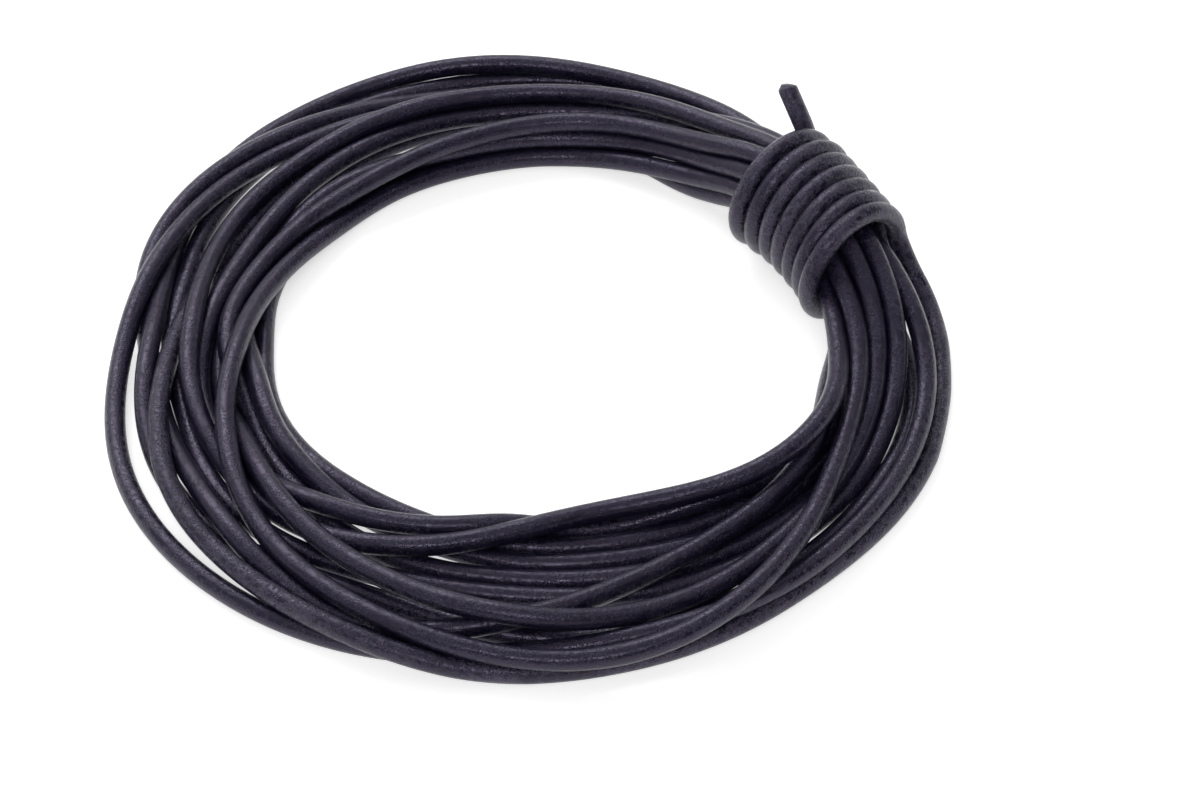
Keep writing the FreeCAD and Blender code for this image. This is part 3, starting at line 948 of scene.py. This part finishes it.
@dataclass(frozen=True)
class WaxedLeather:
    """Black round leather cord, waxed, with rubbed flakes, grain and fine cracks, whose colour is
    also darkened as painted shade.
    """

    name: str = "waxed_leather"
    deep: tuple[float, float, float] = (0.0058, 0.0045, 0.0142)
    bloom: tuple[float, float, float] = (0.0074, 0.0059, 0.0168)
    worn: tuple[float, float, float] = (0.0170, 0.0145, 0.0305)
    sheen_tint: tuple[float, float, float] = (0.80, 0.72, 1.0)
    sheen: float = 0.55
    smooth: float = 0.14
    dull: float = 0.27
    grain: float = 3800.0
    flakes: float = 1100.0
    cracks: float = 1500.0
    relief: float = 0.070 * MM
    rubbed: float = 0.0
    wax_edge: tuple[float, float] = (0.35, 0.65)
    least_wax: float = 0.2
    # How far the cracks are painted toward the deep colour: painted shade in the creases.
    crack_painted_shade: float = 0.6

    def build(self, groups: CordGroups) -> bpy.types.Material:
        """Build the finish on the cord's own map.

        Args:
            groups: The shared node groups.

        Returns:
            The material.
        """
        material = bpy.data.materials.new(self.name)
        material.use_nodes = True
        tree = material.node_tree
        nodes, links = tree.nodes, tree.links
        leather = nodes["Principled BSDF"]
        leather.inputs["Specular Tint"].default_value = (*self.sheen_tint, 1.0)
        leather.inputs["Specular IOR Level"].default_value = self.sheen
        place = nodes.new("ShaderNodeGroup")
        place.node_tree = groups.space
        skin = nodes.new("ShaderNodeGroup")
        skin.node_tree = groups.skin
        links.new(place.outputs["Place"], skin.inputs["Place"])
        skin.inputs["Grain"].default_value = self.grain
        skin.inputs["Flakes"].default_value = self.flakes
        skin.inputs["Cracks"].default_value = self.cracks
        skin.inputs["Rubbed"].default_value = self.rubbed
        flake, crack = skin.outputs["Flake"], skin.outputs["Crack"]
        waxed = groups.stretch_range(tree, skin.outputs["Stretch"], self.wax_edge,
                                     (self.least_wax, 1.0))
        tone = self.blend(tree, self.deep, self.bloom, waxed)
        amount = groups.reckon(tree, "MULTIPLY", flake, waxed)
        worn = self.blend(tree, tone, self.worn, amount)
        # The bump sinks the cracks, and their colour is also darkened toward the deep tone:
        # painted shade in the creases.
        painted_crack_shade = groups.reckon(tree, "MULTIPLY", crack, self.crack_painted_shade)
        links.new(self.blend(tree, worn, self.deep, painted_crack_shade), leather.inputs["Base Color"])
        links.new(groups.stretch_range(tree, flake, (0.0, 1.0), (self.dull, self.smooth)),
                  leather.inputs["Roughness"])
        bump = nodes.new("ShaderNodeBump")
        bump.inputs["Distance"].default_value = self.relief
        links.new(skin.outputs["Height"], bump.inputs["Height"])
        links.new(bump.outputs["Normal"], leather.inputs["Normal"])
        return material

    def blend(self, tree: bpy.types.NodeTree,
              under: bpy.types.NodeSocket | tuple[float, float, float],
              over: tuple[float, float, float],
              amount: bpy.types.NodeSocket) -> bpy.types.NodeSocket:
        """Lay one colour over another.

        Args:
            tree: The material's nodes.
            under: The colour below, a socket or plain numbers.
            over: The colour above.
            amount: How much of the upper colour shows.

        Returns:
            The blended colour.
        """
        node = tree.nodes.new("ShaderNodeMix")
        node.data_type = "RGBA"
        if isinstance(under, tuple):
            node.inputs[MIX_UNDER].default_value = (*under, 1.0)
        else:
            tree.links.new(under, node.inputs[MIX_UNDER])
        node.inputs[MIX_OVER].default_value = (*over, 1.0)
        tree.links.new(amount, node.inputs["Factor"])
        return node.outputs[MIX_RESULT]


@dataclass(frozen=True)
class Lamp:
    """A soft rectangular lamp that faces a point on the table.

    Attributes:
        name: What the lamp is called.
        place: Where its middle hangs, in metres.
        toward: The point that it faces.
        size: Its two sides in metres, left to right and front to back.
        power: Its power in watts.
        beam: How wide its light spreads, in degrees.
    """

    name: str
    place: tuple[float, float, float]
    toward: tuple[float, float, float]
    size: tuple[float, float]
    power: float
    beam: float

    def hang(self) -> None:
        """Put the lamp up."""
        light = bpy.data.lights.new(self.name, "AREA")
        light.shape = "RECTANGLE"
        light.spread = math.radians(self.beam)
        light.size, light.size_y = self.size
        light.energy = self.power
        holder = bpy.data.objects.new(self.name, light)
        holder.location = self.place
        away = Vector(self.place) - Vector(self.toward)
        holder.rotation_euler = away.to_track_quat("Z", "Y").to_euler()
        bpy.context.scene.collection.objects.link(holder)


@dataclass
class Studio:
    """A white table in a room: pale walls low down, a wide canopy behind, two soft lamps.

    Attributes:
        table_glow: What the table shines where the camera or a reflection sees it.
        wall_top: The heights over which the walls end, as shares of straight up.
        canopy_way: The way to the canopy's middle.
        canopy_edge: How near to that way the canopy starts and is full.
    """

    table_size: float = 3.0
    table_white: float = 0.80
    table_roughness: float = 0.9
    table_glow: float = 0.60
    wall_strength: float = 1.0
    room_strength: float = 0.06
    wall_top: tuple[float, float] = (0.18, 0.34)
    canopy_strength: float = 0.54
    canopy_way: tuple[float, float, float] = (-0.30, 0.42, 0.78)
    canopy_edge: tuple[float, float] = (0.30, 0.42)
    lamps: tuple[Lamp, ...] = (
        Lamp("rear_softbox", (-0.20, 0.36, 0.44), (-0.03, 0.04, 0.0), (0.70, 0.30), 0.56, 80.0),
        Lamp("front_strip", (-0.06, -0.42, 0.45), (-0.03, 0.05, 0.0), (0.34, 0.06), 0.12, 60.0))

    def table(self) -> None:
        """Lay the white table that the hank stands on."""
        bpy.ops.object.select_all(action="DESELECT")
        bpy.ops.mesh.primitive_plane_add(size=self.table_size, location=(0.0, 0.0, 0.0))
        top = bpy.context.object
        top.name = "table_top"
        material = bpy.data.materials.new("white_table")
        material.use_nodes = True
        nodes, links = material.node_tree.nodes, material.node_tree.links
        paint = nodes["Principled BSDF"]
        paint.inputs["Base Color"].default_value = (*(self.table_white,) * 3, 1.0)
        paint.inputs["Roughness"].default_value = self.table_roughness
        paint.inputs["Specular IOR Level"].default_value = 0.0
        sight = nodes.new("ShaderNodeLightPath")
        seen = sight.outputs["Is Camera Ray"]
        for ray in ("Is Glossy Ray", "Is Transmission Ray"):
            either = nodes.new("ShaderNodeMath")
            either.operation = "MAXIMUM"
            links.new(seen, either.inputs[0])
            links.new(sight.outputs[ray], either.inputs[1])
            seen = either.outputs["Value"]
        glow = nodes.new("ShaderNodeMath")
        glow.operation = "MULTIPLY"
        glow.inputs[1].default_value = self.table_glow
        links.new(seen, glow.inputs[0])
        paint.inputs["Emission Color"].default_value = (1.0, 1.0, 1.0, 1.0)
        links.new(glow.outputs["Value"], paint.inputs["Emission Strength"])
        top.data.materials.append(material)

    def room(self) -> None:
        """Put up the room: pale walls low down and a wide canopy behind, dim elsewhere."""
        world = bpy.data.worlds.new("pale_room")
        bpy.context.scene.world = world
        world.use_nodes = True
        nodes, links = world.node_tree.nodes, world.node_tree.links
        nodes.clear()
        out = nodes.new("ShaderNodeOutputWorld")
        light = nodes.new("ShaderNodeBackground")
        light.inputs["Color"].default_value = (1.0, 1.0, 1.0, 1.0)
        way = nodes.new("ShaderNodeTexCoord")
        parts = (((0.0, 0.0, 1.0), self.wall_top, (self.wall_strength, self.room_strength)),
                 (self.canopy_way, self.canopy_edge, (self.room_strength, self.canopy_strength)))
        levels = []
        for toward, edge, strength in parts:
            along = nodes.new("ShaderNodeVectorMath")
            along.operation = "DOT_PRODUCT"
            along.inputs[1].default_value = Vector(toward).normalized()
            links.new(way.outputs["Generated"], along.inputs[0])
            level = nodes.new("ShaderNodeMapRange")
            level.interpolation_type = "SMOOTHSTEP"
            for label, number in zip(("From Min", "From Max", "To Min", "To Max"),
                                     edge + strength):
                level.inputs[label].default_value = number
            links.new(along.outputs["Value"], level.inputs["Value"])
            levels.append(level.outputs["Result"])
        both = nodes.new("ShaderNodeMath")
        both.operation = "MAXIMUM"
        for socket, level in zip(both.inputs, levels):
            links.new(level, socket)
        links.new(both.outputs["Value"], light.inputs["Strength"])
        links.new(light.outputs["Background"], out.inputs["Surface"])

    def build(self) -> None:
        """Put up the table, the room and the lamps."""
        self.table()
        self.room()
        for lamp in self.lamps:
            lamp.hang()


def main() -> None:
    """Build the cord's pieces and the studio, and report each piece."""
    logging.basicConfig(level=logging.INFO, format="%(name)s: %(message)s")
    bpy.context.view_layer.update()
    bpy.ops.object.select_all(action="DESELECT")
    bpy.context.scene.view_settings.view_transform = "Standard"
    sight = Sight()
    sight.build()
    lay = LoopLay(sight)
    tie = Tie(lay)
    loops = lay.points()
    groups = CordGroups()
    leather = WaxedLeather().build(groups)
    worn_leather = WaxedLeather("worn_leather", rubbed=0.0, relief=0.120 * MM,
                                worn=(0.048, 0.043, 0.068)).build(groups)
    lower = np.vstack([tie.start()] + [loop[:-1] for loop in loops[:6]] + [loops[6][:1]])
    upper = np.vstack([loop[:-1] for loop in loops[6:11]] + [loops[11][:1]])
    pieces = (
        CordPiece(CordPart.LOWER_LOOPS, lower, "object", ("coil_loops", "starting_end"),
                  start_rounding=0.4 * MM),
        CordPiece(CordPart.UPPER_LOOPS, upper, "object", ("coil_loops",), seed=13),
        CordPiece(CordPart.BINDING, tie.last_run(loops[11]), "bare",
                  ("binding_lead", "binding_turns", "free_tail", "coil_loops"), seed=23,
                  end_rounding=0.9 * MM, end_slant=0.25 * MM),
    )
    start_at = 0.0
    for piece in pieces:
        piece.build(start_at, worn_leather if piece.part is CordPart.BINDING else leather)
        start_at += (len(piece.line) - 1) * piece.step
    LOG.info("the whole cord is %.2f m long", start_at)
    Studio().build()


if __name__ == "__main__":
    main()
